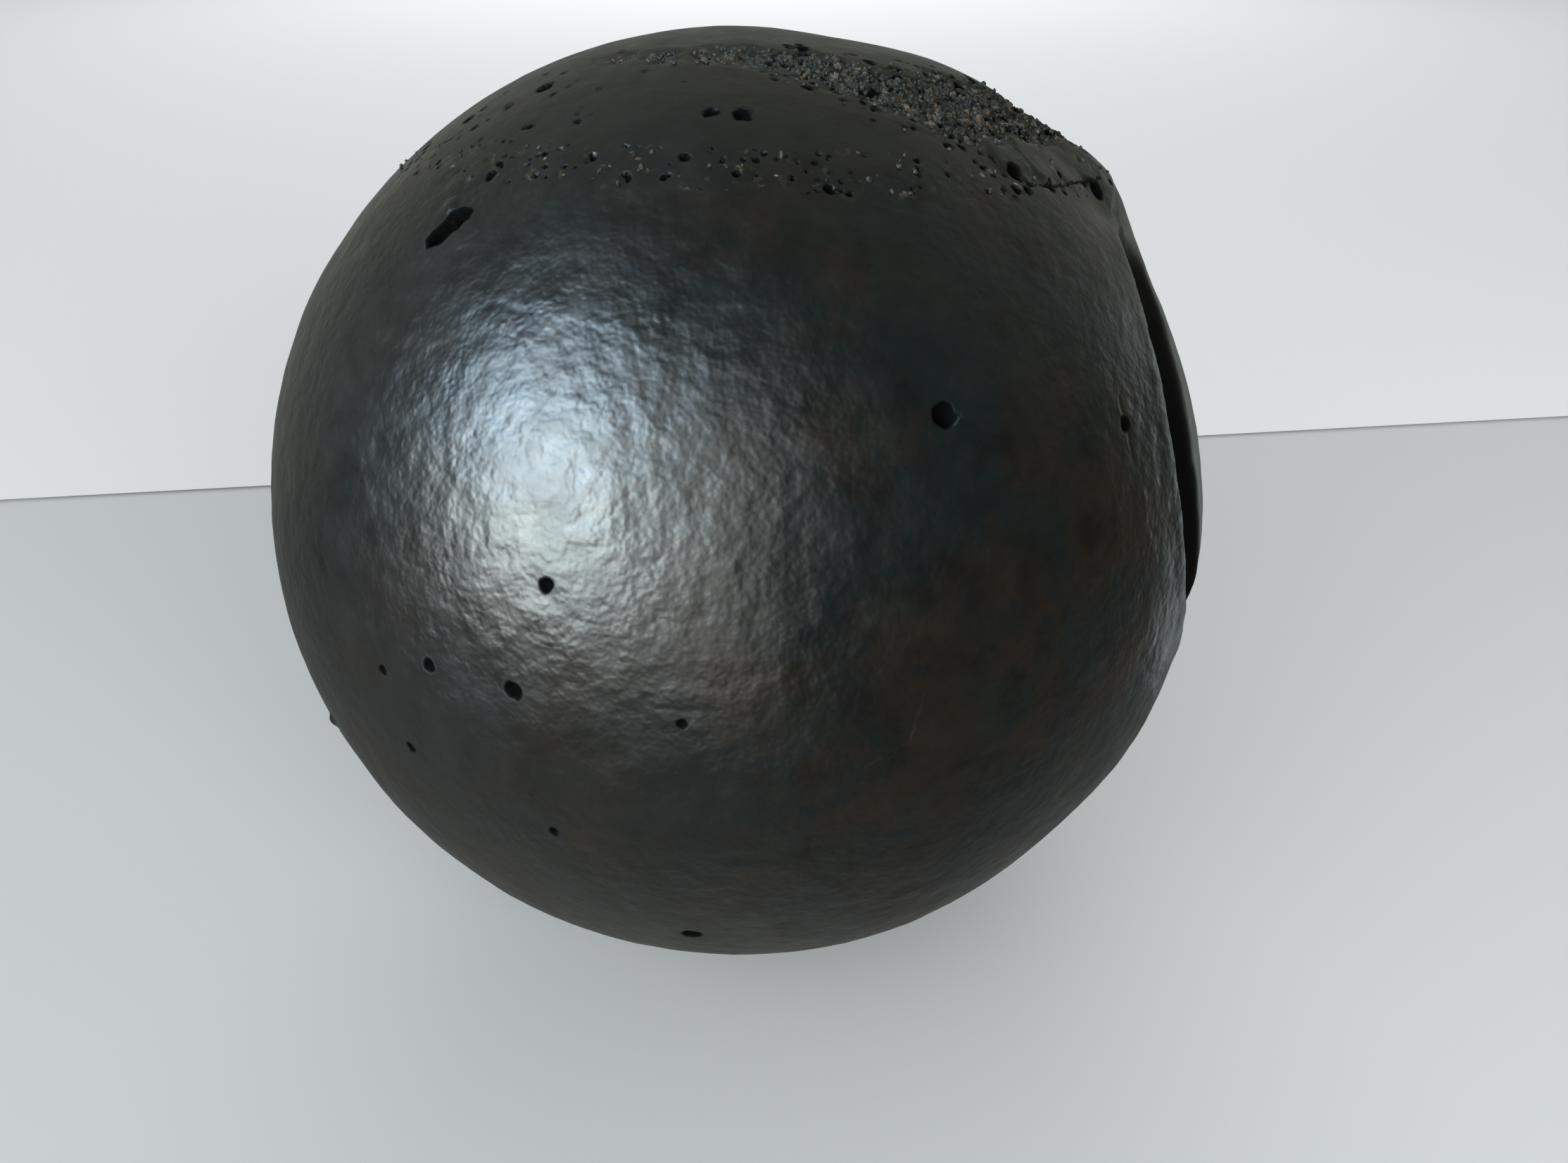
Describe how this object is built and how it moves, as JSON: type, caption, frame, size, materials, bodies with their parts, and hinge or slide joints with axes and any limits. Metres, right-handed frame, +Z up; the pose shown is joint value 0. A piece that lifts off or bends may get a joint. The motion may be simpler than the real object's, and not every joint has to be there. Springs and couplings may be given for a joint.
{
  "type": "case opening friction ball",
  "caption": "Solid ball of aged black rubber that unscrews a watch case back by grip alone, with a smooth skin over a coarse core, bonded lids and a torn gate.",
  "frame": {"origin": "middle of the worn flat underneath, on the surface that the ball rests on", "axes": "+Z up through the middle of the ball; +X towards the side lid; the top lid faces up and a little back, towards +Y"},
  "size_m": [0.0646, 0.065, 0.064],
  "materials": {
    "skin_rubber": "aged, worn to a soft shine, hammered texture",
    "top_lid_rubber": "aged, smooth with small pits",
    "side_lid_rubber": "aged, worn to a soft shine",
    "joint_rubber": "matt, pitted, with pale grit",
    "coarse_core_rubber": "matt, coarse and granular where it tore"
  },
  "bodies": {
    "root": {"core": "coarse_core_rubber", "main_skin": "skin_rubber", "top_lid": "top_lid_rubber", "side_lid": "side_lid_rubber", "top_joint_rubber": "joint_rubber", "side_joint_rubber": "joint_rubber"}
  },
  "joints": []
}
